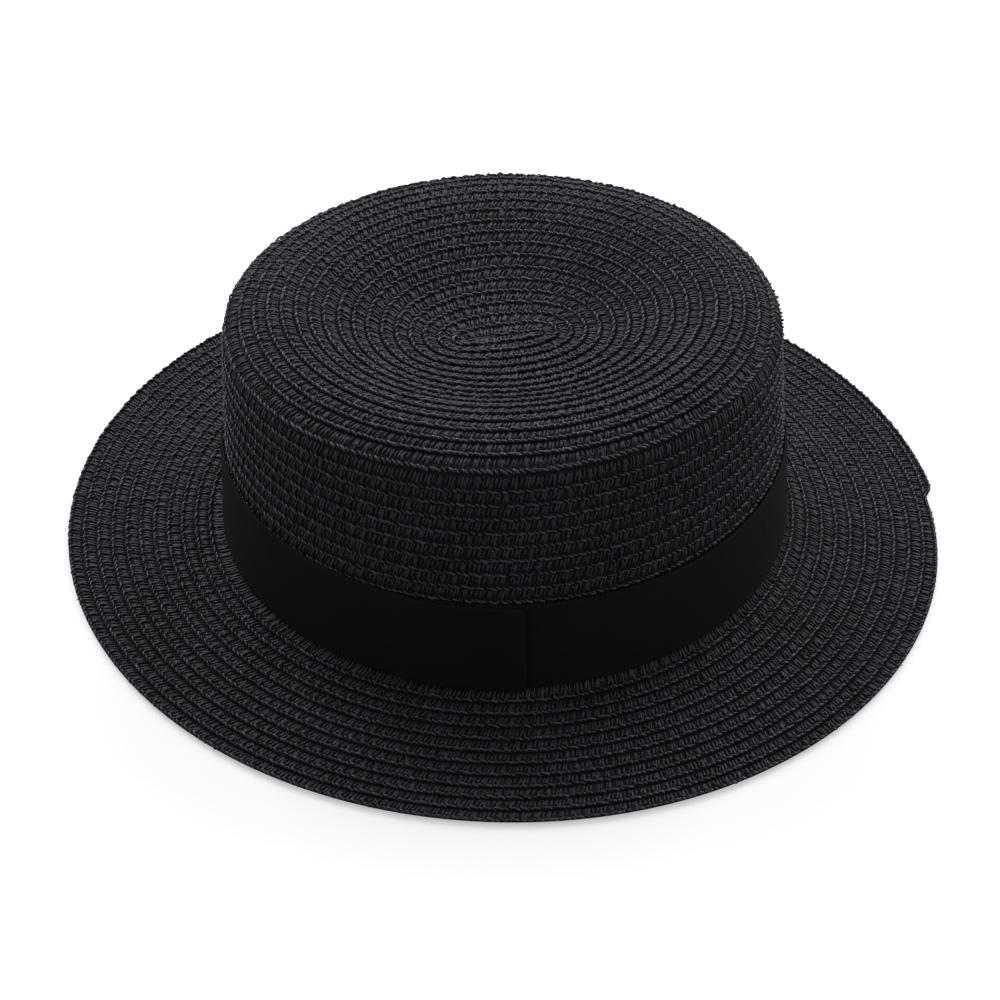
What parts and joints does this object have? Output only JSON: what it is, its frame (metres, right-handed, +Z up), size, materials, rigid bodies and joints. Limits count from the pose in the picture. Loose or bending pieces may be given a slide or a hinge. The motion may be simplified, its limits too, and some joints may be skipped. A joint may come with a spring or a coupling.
{
  "type": "straw boater hat",
  "caption": "Stiff straw boater hat with a flat oval crown, a flat oval brim and a plain ribbon round the foot of the crown.",
  "frame": {"origin": "on the plane that the brim rests on, below the middle of the brim", "axes": "+Z up through the crown, +X along the hat's length, +Y away from the ribbon's lap"},
  "size_m": [0.3104, 0.2916, 0.0999],
  "materials": {
    "straw": "dyed black sewn braid, satin",
    "ribbon": "black grosgrain, matte"
  },
  "bodies": {
    "root": {"crown_tip": "straw", "crown_side": "straw", "brim": "straw", "ribbon_band": "ribbon"}
  },
  "joints": []
}
